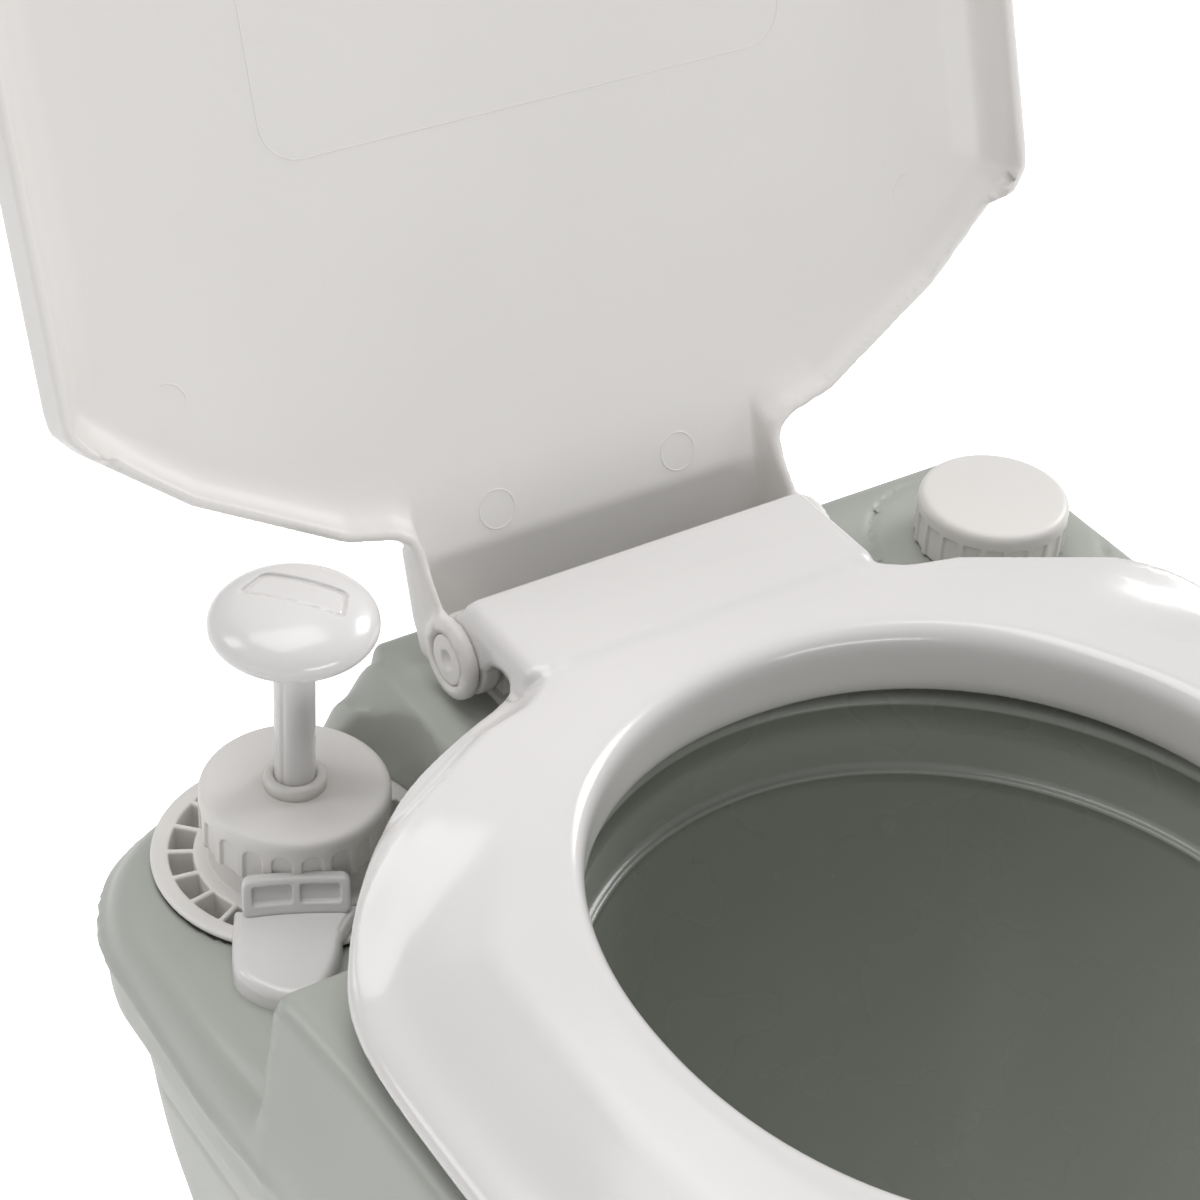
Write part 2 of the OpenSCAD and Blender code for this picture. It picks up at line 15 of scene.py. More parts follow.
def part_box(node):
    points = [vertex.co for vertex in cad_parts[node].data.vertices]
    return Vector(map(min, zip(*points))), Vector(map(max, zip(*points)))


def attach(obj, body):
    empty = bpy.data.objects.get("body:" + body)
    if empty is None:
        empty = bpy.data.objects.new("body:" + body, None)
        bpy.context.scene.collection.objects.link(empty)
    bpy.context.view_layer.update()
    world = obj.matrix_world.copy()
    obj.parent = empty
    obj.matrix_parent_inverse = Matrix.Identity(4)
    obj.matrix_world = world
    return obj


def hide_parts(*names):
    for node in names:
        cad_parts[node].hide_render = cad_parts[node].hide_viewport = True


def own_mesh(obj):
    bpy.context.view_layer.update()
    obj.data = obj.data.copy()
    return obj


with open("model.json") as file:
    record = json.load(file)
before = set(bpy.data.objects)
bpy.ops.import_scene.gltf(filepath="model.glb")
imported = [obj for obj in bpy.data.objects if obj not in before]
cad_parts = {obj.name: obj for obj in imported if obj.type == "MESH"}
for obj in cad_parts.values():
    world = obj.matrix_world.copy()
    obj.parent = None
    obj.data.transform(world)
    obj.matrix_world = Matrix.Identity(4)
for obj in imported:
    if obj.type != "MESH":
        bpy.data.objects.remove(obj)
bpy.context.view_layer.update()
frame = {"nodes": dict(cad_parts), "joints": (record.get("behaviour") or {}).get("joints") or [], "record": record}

MM = 0.001


# ---- the frame's places, in millimetres ----


def node_box(node):
    low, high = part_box(node)
    return np.array(low) / MM, np.array(high) / MM


def node_mid(node):
    low, high = node_box(node)
    return (low + high) / 2


joints = {j["name"]: j for j in frame["joints"]}
HINGE_Y, HINGE_Z = (c / MM for c in joints["lid_hinge"]["pos_m"][1:])
LID_OPEN = -joints["lid_hinge"]["range_deg"][0]
DECK_Z = node_box("upper_tank")[1][2]
WAIST_Z = node_box("upper_tank")[0][2]
BODY_HALF = node_box("upper_tank")[1][0]
BODY_REAR = node_box("upper_tank")[1][1]
PUMP_X, PUMP_Y = node_mid("pump_nut")[:2]
FILL_X, FILL_Y = node_mid("fill_cap")[:2]
FLANGE_TOP = node_box("pump_nut")[0][2] - 9.6
PUMP_DECK_Z = FLANGE_TOP - 2.8
NUT_LOW, NUT_TOP = node_box("pump_nut")[0][2], node_box("pump_nut")[1][2]
KNOB_LOW, KNOB_TOP = node_box("pump_knob")[0][2], node_box("pump_knob")[1][2]
WELL_FRONT = HINGE_Y - 87


# ---- distance fields ----


def join(a, b, k):
    """Union of two fields, with a fillet about k wide."""
    h = np.clip(0.5 + 0.5 * (b - a) / k, 0, 1)
    return b * (1 - h) + a * h - k * h * (1 - h)


def both(a, b, k):
    """Intersection of two fields, with its edge rounded over about k."""
    return -join(-a, -b, k)


def cut(a, b, k):
    """Field a with field b taken away."""
    return -join(-a, b, k)


def disc(x, y, r):
    return np.hypot(x, y) - r


def slab(z, low, high):
    return np.maximum(low - z, z - high)


def rounded_rect(x, y, half_x, half_y, r):
    qx, qy = np.abs(x) - half_x + r, np.abs(y) - half_y + r
    return np.minimum(np.maximum(qx, qy), 0) + np.hypot(np.maximum(qx, 0), np.maximum(qy, 0)) - r


def brick(x, y, z, half, r):
    """Box with all its edges rounded by r."""
    q = [np.abs(c) - h + r for c, h in zip((x, y, z), half)]
    inner = np.minimum(np.maximum(np.maximum(q[0], q[1]), q[2]), 0)
    return inner + np.sqrt(sum(np.maximum(c, 0) ** 2 for c in q)) - r


def profile(t, knots, values, blur):
    """Line through knots, with its corners softened over blur."""
    shifts = np.array([-1, -0.6, -0.2, 0.2, 0.6, 1]) * blur
    return sum(np.interp(t + s, knots, values) for s in shifts) / len(shifts)


def smooth_step(t, low, high):
    u = np.clip((t - low) / (high - low), 0, 1)
    return u * u * (3 - 2 * u)


def polygon_field(x, y, points):
    """Signed distance to a closed polygon in a plane."""
    best = np.full(x.shape, 1e9)
    sign = np.ones(x.shape)
    for (ax, ay), (bx, by) in zip(points, points[1:] + points[:1]):
        ex, ey = bx - ax, by - ay
        wx, wy = x - ax, y - ay
        t = np.clip((wx * ex + wy * ey) / (ex * ex + ey * ey), 0, 1)
        best = np.minimum(best, (wx - ex * t) ** 2 + (wy - ey * t) ** 2)
        up, down, left = y >= ay, y < by, ex * wy > ey * wx
        flip = (up & down & left) | (~up & ~down & ~left)
        sign = np.where(flip, -sign, sign)
    return sign * np.sqrt(best)


def softened(points, rounds=3):
    """Closed polygon with its corners cut off again and again."""
    points = np.array(points, float)
    for _ in range(rounds):
        ahead = np.roll(points, -1, 0)
        points = np.stack([0.75 * points + 0.25 * ahead, 0.25 * points + 0.75 * ahead], 1).reshape(-1, 2)
    return [tuple(q) for q in points]


def around(x, y, count):
    """Angle folded into one of count equal sectors, as radians from the sector's middle."""
    sector = 2 * math.pi / count
    return (np.arctan2(y, x) + sector / 2) % sector - sector / 2


# ---- meshes from fields ----


def newton(field, points, step, rounds):
    """Slides points onto the surface of a field."""
    e = step * 0.05
    for _ in range(rounds):
        value = field(*points.T)
        slope = np.stack([(field(*(points + d).T) - field(*(points - d).T)) / (2 * e) for d in np.eye(3) * e], 1)
        move = slope * (value / np.maximum((slope**2).sum(1), 0.05))[:, None]
        size = np.linalg.norm(move, axis=1)
        move *= np.minimum(1, 0.5 * step / np.maximum(size, 1e-9))[:, None]
        points = points - move
    return points


def relax(points, quads, field, step):
    """Evens out the mesh along the surface."""
    total, count = np.zeros_like(points), np.zeros(len(points))
    for a, b in ((0, 1), (1, 2), (2, 3), (3, 0)):
        for i, j in ((a, b), (b, a)):
            for axis in range(3):
                total[:, axis] += np.bincount(quads[:, i], points[quads[:, j], axis], len(points))
            count += np.bincount(quads[:, i], minlength=len(points))
    return newton(field, points + 0.5 * (total / np.maximum(count, 1)[:, None] - points), step, 2)


def field_mesh(field, low, high, step, tidy=2):
    """(points, quads) of the surface where a field is zero inside a box: one point in each cell it crosses."""
    low, high = np.array(low, float), np.array(high, float)
    counts = np.ceil((high - low) / step).astype(int) + 1
    axes = [low[i] + step * np.arange(counts[i]) for i in range(3)]
    value = field(*np.meshgrid(*axes, indexing="ij"))
    inside = value < 0
    n = np.array(inside.shape) - 1
    corners = [(i, j, k) for i in (0, 1) for j in (0, 1) for k in (0, 1)]
    filled = sum(inside[i : n[0] + i, j : n[1] + j, k : n[2] + k].astype(np.int8) for i, j, k in corners)
    active = (filled > 0) & (filled < 8)
    cells = np.argwhere(active)
    index = np.full(active.shape, -1)
    index[active] = np.arange(len(cells))
    total, count = np.zeros((len(cells), 3)), np.zeros(len(cells))
    for axis in range(3):
        for c in corners:
            if c[axis]:
                continue
            near = cells + c
            far = near + np.eye(3, dtype=int)[axis]
            a, b = value[tuple(near.T)], value[tuple(far.T)]
            crossed = (a < 0) != (b < 0)
            spot = near.astype(float)
            spot[:, axis] += np.where(crossed, a / np.where(a == b, 1, a - b), 0)
            total[crossed] += spot[crossed]
            count += crossed
    points = low + step * total / count[:, None]
    quads = []
    for axis in range(3):
        u, v = (axis + 1) % 3, (axis + 2) % 3
        one = np.eye(3, dtype=int)
        near = [slice(None)] * 3
        far = [slice(None)] * 3
        near[axis], far[axis] = slice(0, -1), slice(1, None)
        changed = inside[tuple(near)] != inside[tuple(far)]
        edges = np.argwhere(changed)
        ok = (edges[:, u] > 0) & (edges[:, v] > 0) & (edges[:, u] < n[u]) & (edges[:, v] < n[v])
        edges = edges[ok]
        loop = [index[tuple((edges - s).T)] for s in (one[u] + one[v], one[v], 0 * one[0], one[u])]
        quad = np.stack(loop, 1)
        flip = ~inside[tuple(edges.T)]
        quad[flip] = quad[flip][:, ::-1]
        quads.append(quad)
    quads = np.concatenate(quads)
    points = newton(field, points, step, 3)
    for _ in range(tidy):
        points = relax(points, quads, field, step)
    return points, quads


def mesh_object(name, points, faces):
    """Smooth-shaded object from points in millimetres."""
    mesh = bpy.data.meshes.new(name)
    mesh.from_pydata((np.asarray(points) * MM).tolist(), [], [list(map(int, f)) for f in faces])
    mesh.polygons.foreach_set("use_smooth", np.ones(len(mesh.polygons), bool))
    mesh.update()
    obj = bpy.data.objects.new(name, mesh)
    bpy.context.scene.collection.objects.link(obj)
    return obj


def piece(obj, body, material, nodes=()):
    """Gives an object its material and body, and hides the frame nodes it stands for."""
    obj.data.materials.append(material)
    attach(obj, body)
    if nodes:
        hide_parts(*nodes)
    return obj


def solid(name, field, low, high, step, body, look, nodes=None):
    """Piece whose surface is a field; it stands for the frame node of the same name unless told otherwise."""
    material, slot = look
    obj = mesh_object(name + "_shape", *field_mesh(field, low, high, step))
    return piece(obj, body, material, [name] if nodes is None else nodes)


def lathe(name, rings, body, look, nodes, centre=(0, 0), stretch=1.0, segments=128):
    """Piece turned from a closed outline of (radius, height) points."""
    angle = np.arange(segments) * 2 * math.pi / segments
    rings = np.array(rings, float)
    x = centre[0] + rings[:, :1] * np.cos(angle)
    y = centre[1] + rings[:, :1] * np.sin(angle) * stretch
    z = np.repeat(rings[:, 1:], segments, 1)
    points = np.stack([x, y, z], -1).reshape(-1, 3)
    count = len(rings)
    faces = []
    for i in range(count):
        for k in range(segments):
            a, b = i * segments + k, i * segments + (k + 1) % segments
            c, d = (i + 1) % count * segments + (k + 1) % segments, (i + 1) % count * segments + k
            faces.append((a, b, c, d))
    material, slot = look
    return piece(mesh_object(name, points, faces), body, material, nodes)


# ---- materials ----


def shader(name):
    material = bpy.data.materials.new(name)
    material.use_nodes = True
    tree = material.node_tree
    return material, tree.nodes, tree.links, tree.nodes["Principled BSDF"]


def noise(nodes, links, scale, detail, coords):
    node = nodes.new("ShaderNodeTexNoise")
    node.inputs["Scale"].default_value = scale
    node.inputs["Detail"].default_value = detail
    links.new(coords, node.inputs["Vector"])
    return node.outputs["Fac"]


def remap(nodes, links, value, low, high, out_low, out_high):
    node = nodes.new("ShaderNodeMapRange")
    for key, v in zip(("From Min", "From Max", "To Min", "To Max"), (low, high, out_low, out_high)):
        node.inputs[key].default_value = v
    links.new(value, node.inputs["Value"])
    return node.outputs["Result"]


def tint(nodes, links, amount, a, b):
    """Colour between a and b."""
    node = nodes.new("ShaderNodeMix")
    node.data_type = "RGBA"
    for socket, colour in ((node.inputs[6], a), (node.inputs[7], b)):
        if isinstance(colour, tuple):
            socket.default_value = (*colour, 1)
        else:
            links.new(colour, socket)
    links.new(amount, node.inputs[0])
    return node.outputs[2]


def bumps(nodes, links, layers):
    """Chain of bump nodes from (height, strength, distance) layers."""
    normal = None
    for height, strength, distance in layers:
        node = nodes.new("ShaderNodeBump")
        node.inputs["Strength"].default_value = strength
        node.inputs["Distance"].default_value = distance
        links.new(height, node.inputs["Height"])
        if normal:
            links.new(normal, node.inputs["Normal"])
        normal = node.outputs["Normal"]
    return normal


def plastic(name, colour, rough, peel, grain, coat=0.0, edge_highlight=0.5, soft=0.05):
    """Moulded plastic: cloudy colour, fine flow waves, a grain, and sharp edges painted paler as a highlight.

    peel is the depth of the broad waves and grain that of the fine texture, in metres.
    """
    material, nodes, links, bsdf = shader(name)
    coords = nodes.new("ShaderNodeTexCoord").outputs["Object"]
    cloud = noise(nodes, links, 9, 3, coords)
    speck = noise(nodes, links, 420, 2, coords)
    waves = noise(nodes, links, 55, 2, coords)
    fine = noise(nodes, links, 1500, 2, coords)
    dark = tuple(c * 0.975 for c in colour)
    light = tuple(min(1, c * 1.015) for c in colour)
    base = tint(nodes, links, remap(nodes, links, cloud, 0.25, 0.75, 0, 1), dark, light)
    base = tint(nodes, links, remap(nodes, links, speck, 0.62, 0.75, 0, 0.12), base, tuple(c * 0.9 for c in colour))
    # Painted highlight: sharp convex edges (high pointiness) are painted paler, as if they caught the light.
    edge = nodes.new("ShaderNodeNewGeometry").outputs["Pointiness"]
    painted_edge_highlight = remap(nodes, links, edge, 0.52, 0.62, 0, edge_highlight)
    base = tint(nodes, links, painted_edge_highlight, base, tuple(min(1, c * 1.12 + 0.02) for c in colour))
    links.new(base, bsdf.inputs["Base Color"])
    rough_map = remap(nodes, links, noise(nodes, links, 26, 2, coords), 0.25, 0.75, rough - 0.025, rough + 0.03)
    links.new(rough_map, bsdf.inputs["Roughness"])
    links.new(bumps(nodes, links, [(waves, 0.6, peel), (fine, 0.5, grain)]), bsdf.inputs["Normal"])
    bsdf.inputs["Coat Weight"].default_value = coat
    bsdf.inputs["Coat Roughness"].default_value = 0.12
    bsdf.inputs["Subsurface Weight"].default_value = soft
    bsdf.inputs["Subsurface Radius"].default_value = (0.004, 0.004, 0.0035)
    bsdf.inputs["IOR"].default_value = 1.48
    return material


def rubber(name):
    material, nodes, links, bsdf = shader(name)
    coords = nodes.new("ShaderNodeTexCoord").outputs["Object"]
    dust = noise(nodes, links, 60, 5, coords)
    links.new(tint(nodes, links, remap(nodes, links, dust, 0.4, 0.75, 0, 1), (0.016, 0.016, 0.017), (0.05, 0.05, 0.05)),
              bsdf.inputs["Base Color"])
    links.new(remap(nodes, links, dust, 0.3, 0.7, 0.55, 0.78), bsdf.inputs["Roughness"])
    links.new(bumps(nodes, links, [(noise(nodes, links, 900, 2, coords), 0.5, 0.00004)]), bsdf.inputs["Normal"])
    return material


def steel(name):
    material, nodes, links, bsdf = shader(name)
    coords = nodes.new("ShaderNodeTexCoord").outputs["Object"]
    spangle = noise(nodes, links, 300, 3, coords)
    links.new(tint(nodes, links, spangle, (0.46, 0.47, 0.5), (0.68, 0.69, 0.7)), bsdf.inputs["Base Color"])
    links.new(remap(nodes, links, spangle, 0.3, 0.7, 0.22, 0.42), bsdf.inputs["Roughness"])
    links.new(bumps(nodes, links, [(noise(nodes, links, 1200, 2, coords), 0.4, 0.00002)]), bsdf.inputs["Normal"])
    bsdf.inputs["Metallic"].default_value = 1
    return material


TANK = plastic("tank_grey_green", (0.405, 0.418, 0.385), 0.42, 0.0004, 0.00003, coat=0.15, edge_highlight=0.6)
# The bowl is the tank's plastic (same slot), made glossier and painted darker: painted shade for the inside of the
# bowl.
BASIN_SHADED = plastic("basin_grey_green_painted_shade", (0.33, 0.345, 0.31), 0.27, 0.0003, 0.00001, coat=0.3, edge_highlight=0.6)
GLOSS = plastic("gloss_white_plastic", (0.705, 0.69, 0.682), 0.24, 0.00012, 0.000004, coat=0.35, edge_highlight=0.3)
SATIN = plastic("satin_white_plastic", (0.76, 0.74, 0.715), 0.42, 0.00012, 0.00001, edge_highlight=0.4)
LID = plastic("lid_white_plastic", (0.745, 0.725, 0.705), 0.40, 0.00016, 0.000012, edge_highlight=0.3)
DARK = plastic("valve_dark_plastic", (0.05, 0.055, 0.052), 0.35, 0.0001, 0.00001, edge_highlight=0.3)
RUBBER = rubber("black_rubber")
STEEL = steel("zinc_steel")

tank_look, shaded_basin_look, gloss_look, satin_look = (TANK, "tank_plastic"), (BASIN_SHADED, "tank_plastic"), (GLOSS, "gloss_white"), (SATIN, "satin_white")
lid_look, rubber_look, steel_look = (LID, "gloss_white"), (RUBBER, "seal_rubber"), (STEEL, "steel")


# ---- upper tank ----

BOWL_Y = node_mid("bowl")[1]
BOWL_STRETCH = (node_box("bowl")[1][1] - node_box("bowl")[0][1]) / (node_box("bowl")[1][0] - node_box("bowl")[0][0])
OUTLET_Y = node_mid("valve_seal")[1]
OUTLET_R = (node_box("valve_seal")[1][0] - node_box("valve_seal")[0][0]) / 2 - 4
BOWL_LEDGE = node_box("bowl")[1][2] - 26
LATCH_INNER = 147
LATCH_HALF = 20


def basin_radius(z):
    """Inner half-width of the basin at a height."""
    share = np.clip((z - WAIST_Z - 26) / (BOWL_LEDGE - 2 - WAIST_Z - 26), 0, 1)
    return OUTLET_R - 2 + (113.4 - OUTLET_R) * np.sin(share * math.pi / 2) ** 0.8


def plan(x, y, half, front, rear, r_front, r_left, r_right):
    """Rounded outline of the body in plan; the two back corners differ."""
    r = np.where(y < 0, r_front, np.where(x < 0, r_left, r_right))
    qx, qy = np.abs(x) - half + r, np.abs(y) - np.where(y < 0, front, rear) + r
    return np.minimum(np.maximum(qx, qy), 0) + np.hypot(np.maximum(qx, 0), np.maximum(qy, 0)) - r


def upper_side(x, y, z):
    """Side walls: widest at the shoulder, drawn in towards the waist, with folds below the pump deck."""
    half = profile(z, [WAIST_Z, 296, 322, DECK_Z], [BODY_HALF - 26, BODY_HALF - 6, BODY_HALF - 5, BODY_HALF - 12], 9)
    drop = z + (BODY_REAR - y) * 0.09
    pump_side = smooth_step(y, 30, 110) * (x < 0)
    half = half + pump_side * (4.8 * smooth_step(drop, 299, 302.5) + 2 * np.exp(-(((drop - 321) / 2.8) ** 2)))
    depth = half + BODY_REAR - BODY_HALF + 2
    side = plan(x, y, half, depth, depth - 2, 84, 30 + 20 * smooth_step(z, 215, 300), 26)
    groove = np.exp(-(((z - 262) / 2.2) ** 2)) * 0.9
    return side + groove


def pump_deck_height(x, y):
    """The lowered deck at the back left, with two raised folds on the way up to the hinge hump."""
    rise = profile(x, [-200, -101, -93, -88, -84.5, -79, -72, 0],
                   [PUMP_DECK_Z, PUMP_DECK_Z, 345, 357.5, 359.5, 369, DECK_Z + 0.5, DECK_Z + 0.5], 2)
    return rise + 2.2 * np.exp(-(((x + 86.5) / 2) ** 2)) + 2 * np.exp(-(((x + 77.5) / 2.2) ** 2))


def upper_tank(x, y, z):
    side = upper_side(x, y, z)
    main = both(side, z - DECK_Z, 7)
    well = np.maximum(WELL_FRONT - y, x + 74)
    main = cut(main, well, 2.5)
    lowered = both(side, z - pump_deck_height(x, y), 20)
    lowered = np.maximum(lowered, np.maximum(WELL_FRONT - 6 - y, x + 68))
    body = join(main, lowered, 1.5)
    body = both(body, WAIST_Z - z, 4)
    body = cut(body, np.maximum(np.hypot(x, (y - BOWL_Y) / BOWL_STRETCH) - 118.5, 340 - z), 1.5)
    body = cut(body, np.maximum(np.hypot(x, (y - BOWL_Y) / BOWL_STRETCH) - basin_radius(z + 3) - 6, z - 350), 1)
    body = cut(body, np.maximum(disc(x, y - OUTLET_Y, OUTLET_R + 11), z - 240), 1)
    body = cut(body, np.maximum(disc(x - PUMP_X, y - PUMP_Y, 41.4), 322 - z), 1)
    body = cut(body, np.maximum(disc(x - PUMP_X, y - PUMP_Y, 44.8), PUMP_DECK_Z - z), 1)
    body = cut(body, np.maximum(disc(x - FILL_X, y - FILL_Y, 20.4), 355 - z), 1)
    ring = np.abs(disc(x - FILL_X, y - FILL_Y, 39.2)) - 1.1
    body = cut(body, np.maximum(ring, DECK_Z - 1.1 - z), 0.7)
    bay = brick(np.abs(x) - LATCH_INNER - 40, y, z - 186, (40, LATCH_HALF, 40), 3)
    body = cut(body, bay, 4)
    lug = np.maximum(np.abs(x) + z - 353.5, np.maximum(np.abs(x) - 156.5, 192 + np.maximum(np.abs(x) - 153, 0) - z))
    lug = np.maximum(np.maximum(lug, np.abs(y) - 14), 145 - np.abs(x))
    return join(body, lug, 1)


def make_upper_tank():
    low, high = node_box("upper_tank")
    solid("upper_tank", upper_tank, low - 6, high + 6, 2.6, "upper_unit", tank_look)


# ---- bowl ----


def arc(cx, cz, r, start, end, count):
    """Points on an arc, angles in degrees."""
    return [(cx + r * math.cos(math.radians(a)), cz + r * math.sin(math.radians(a)))
            for a in np.linspace(start, end, count)]


def make_bowl():
    """Lip, vertical band, a narrow rounded ledge, then one smooth basin down to the outlet."""
    low, high = node_box("bowl")
    lip_r = (high[0] - low[0]) / 2
    top, bottom = high[2], low[2]
    heights = np.linspace(bottom + 24, BOWL_LEDGE - 2, 40)
    basin = list(zip(basin_radius(heights), heights))
    inner = [(OUTLET_R - 3, bottom), (OUTLET_R - 2.4, bottom + 18)] + basin[1:]
    inner += arc(112.3, BOWL_LEDGE - 1.6, 1.4, 165, 95, 5)
    inner += [(113.9, BOWL_LEDGE + 0.5), (114.3, BOWL_LEDGE + 1.5), (114.8, BOWL_LEDGE + 12), (115, top - 3)]
    inner += arc(118, top - 3, 3, 180, 90, 6)
    outer = arc(lip_r - 1.2, top - 1.2, 1.2, 90, -90, 6) + [(118, top - 2.7), (117.6, BOWL_LEDGE)]
    outer += [(r + 2.6, z - 2.6) for r, z in basin[::-1]]
    outer += [(OUTLET_R, bottom + 10), (OUTLET_R, bottom)]
    # The bowl takes the darker basin plastic, which is painted shade inside the bowl.
    lathe("bowl_basin", inner + outer, "upper_unit", shaded_basin_look, ["bowl"], (0, BOWL_Y), BOWL_STRETCH, 160)


# ---- seat ----

SEAT_HALF = node_box("seat")[1][0]
SEAT_LOW = node_box("seat")[0][2]
SEAT_MID = HINGE_Y + 25
BLOCK_HALF = 64.2


def mirrored(right):
    """Closed outline from its right half, which starts and ends on the middle line or beside it."""
    return right + [(-x, v) for x, v in right[::-1] if x > 0.01]


def seat_outline():
    """Outline of the ring: (across, forward of the hinge axis)."""
    a = SEAT_HALF
    right = [(0, 16), (56, 18), (66, 33), (92, 42.5), (118, 56), (139, 76), (157, 97), (a - 5.5, 114), (a - 1, 138)]
    right += [(a * math.cos(t) ** 0.87, SEAT_MID + 171.5 * math.sin(t) ** 0.87) for t in np.radians(range(0, 90, 6))]
    return softened(mirrored(right + [(0, SEAT_MID + 171.5)]), 2)


RING_OUTLINE = seat_outline()


def oval_field(x, y, a, b, power):
    """Rough distance to an oval between an ellipse and a rectangle."""
    u, v = np.abs(x / a), np.abs(y / b)
    n = (u**power + v**power + 1e-9) ** (1 / power)
    gx, gy = (u / n) ** (power - 1) / a, (v / n) ** (power - 1) / b
    return (n - 1) / np.maximum(np.hypot(gx, gy), 1e-6)


LID_HALF = node_box("lid")[1][0]
LID_LENGTH = 362
RIM_LOW, RIM_LOW_BACK, PLATE_LOW, PLATE_TOP = 3.7, 11.2, 20, 22.8


def lid_outline(neck_end):
    """Outline of the lid: (across, forward of the hinge axis)."""
    right = [(67.5, neck_end), (67.5, 30), (69.5, 34.5), (74, 37.5), (90, 41.5), (136, 66.5), (LID_HALF - 6, 91),
             (LID_HALF - 0.6, 97.5), (LID_HALF, 104), (LID_HALF, LID_LENGTH - 70)]
    right += [(LID_HALF - 66 + 66 * math.cos(a), LID_LENGTH - 70 + 60 * math.sin(a)) for a in np.radians(range(15, 90, 15))]
    return mirrored(right + [(LID_HALF - 72, LID_LENGTH - 7), (60, LID_LENGTH - 1.6), (0, LID_LENGTH)])


LID_OUTLINE, LID_INSIDE = lid_outline(-3), lid_outline(-60)


def seat(x, y, z):
    up, v = z - HINGE_Z, HINGE_Y - y
    edge = -polygon_field(x, v, RING_OUTLINE)
    hole = oval_field(x, y - BOWL_Y, 109, np.where(y > BOWL_Y, 116, 117), 2.1)
    back = 1 - smooth_step(v, 72, 122)
    side_h = profile(edge, [-5, 0, 4, 12.5, 26, 38, 60], [-2.5, -1.5, 0.4, 2.9, 9.8, 15, 16.8], 3)
    within = -3.3 - polygon_field(x, v, LID_OUTLINE)
    back_h = profile(edge, [-5, 0, 3, 8, 15, 60], [5.5, 7.8, 9.4, 12.5, 17, 17], 2)
    back_h = -join(-back_h, -10 - 7 * smooth_step(within, 0, np.where(x < 0, 9, 7)), 1.5)
    crown = side_h + (back_h - side_h) * back
    lip = 3.5 * (1 - smooth_step(hole, 5, 14))
    ring = both(both(-edge, up - crown, 3.5), -6 - lip - up, 2.5)
    ring = both(ring, -hole, 8)
    under = np.maximum(np.maximum(4 - edge, 4 - hole), np.maximum(up - crown + 4, -20 - up))
    ring = cut(ring, under, 2)
    ring = cut(ring, np.maximum(np.maximum(within, 2.9 - up), 84.5 - v), 1.2)
    ring = cut(ring, np.maximum(slab(np.abs(x), BLOCK_HALF, 68.8), np.maximum(v - 37, 8.4 - up)), 1)
    block = both(np.abs(x) - BLOCK_HALF, up - 18.5, 6)
    block = both(block, slab(v, -2.4, 37.6), 3)
    block = np.maximum(block, 2 - up)
    ear = both(np.hypot(v, up) - 13, slab(np.abs(x), BLOCK_HALF - 7, BLOCK_HALF), 1.2)
    neck = np.maximum(slab(np.abs(x), BLOCK_HALF - 7, BLOCK_HALF), np.maximum(slab(up, 4, 14), slab(v, -2.4, 15)))
    notch = np.maximum(np.hypot((v - 24) * 0.9, up + 2) - 11, np.abs(x) - 90)
    body = join(ring, cut(block, notch, 1), 3)
    body = join(body, join(ear, neck, 3), 1.5)
    hollow = both(np.abs(x) - 56.8, slab(v, -20, 33), 2)
    body = cut(body, np.maximum(hollow, up - 15.2), 1)
    return cut(body, np.maximum(np.hypot(v, up) - 5.08, np.abs(x) - 100), 0.3)


def make_seat():
    low, high = node_box("seat")
    solid("seat", seat, low - (3, 3, 7), high + 3, 1.6, "seat", gloss_look)


# ---- lid ----

def lid_shut(x, v, w):
    """The lid in its own axes: across, forward of the hinge, and above it."""
    plan_d = polygon_field(x, v, LID_OUTLINE)
    inner = polygon_field(x, v, LID_INSIDE)
    back = 1 - smooth_step(v, 86, 91)
    shell = both(plan_d, w - PLATE_TOP, 7)
    shell = both(shell, RIM_LOW + (RIM_LOW_BACK - RIM_LOW) * back - w, 1.2)
    side_f = profile(-inner, [0, 2.4, 9, 18, 30], [-40, 3, 15.5, 19.0, PLATE_LOW], 1.6)
    back_f = profile(-inner, [0, 2.4, 4, 7, 11, 17], [-40, 11, 14, 17, 19, PLATE_LOW], 1)
    floor_in = side_f + (back_f - side_f) * (1 - smooth_step(v, 76, 116))
    neck = (1 - smooth_step(v, 36, 62)) * (1 - smooth_step(np.abs(x), 62.5, 65.3))
    floor_in = floor_in + (PLATE_LOW - floor_in) * neck
    shell = cut(shell, np.maximum(w - floor_in, inner + 2.4), 2)
    side = slab(np.abs(x), 65, 67.5)
    arm = polygon_field(v, w, [(-12.4, 4.5), (-3, 20), (8, PLATE_TOP), (31, PLATE_TOP), (31, 12), (12.6, 4), (0, -2)])
    boss = both(np.hypot(v, w) - 13.2, slab(np.abs(x), 65, 69.2), 1.4)
    boss = join(boss, both(np.hypot(v, w) - 10.8, slab(np.abs(x), 65, 70.2), 0.8), 0.5)
    ear = join(both(side, arm, 1.2), boss, 2.5)
    lid = join(shell, ear, 2)
    lid = cut(lid, np.maximum(np.hypot(v, w) - 8.7, 67.1 - np.abs(x)), 0.5)
    return cut(lid, np.hypot(v, w) - 5.08 + np.maximum(np.abs(x) - 90, 0), 0.2)


def lid_frame(points):
    """Points of the shut lid's axes (across, forward, up) turned to the open lid in the row frame."""
    t = math.radians(LID_OPEN)
    x, v, w = np.asarray(points, float).T
    y = -v * math.cos(t) + w * math.sin(t)
    z = v * math.sin(t) + w * math.cos(t)
    return np.stack([x, HINGE_Y + y, HINGE_Z + z], 1)


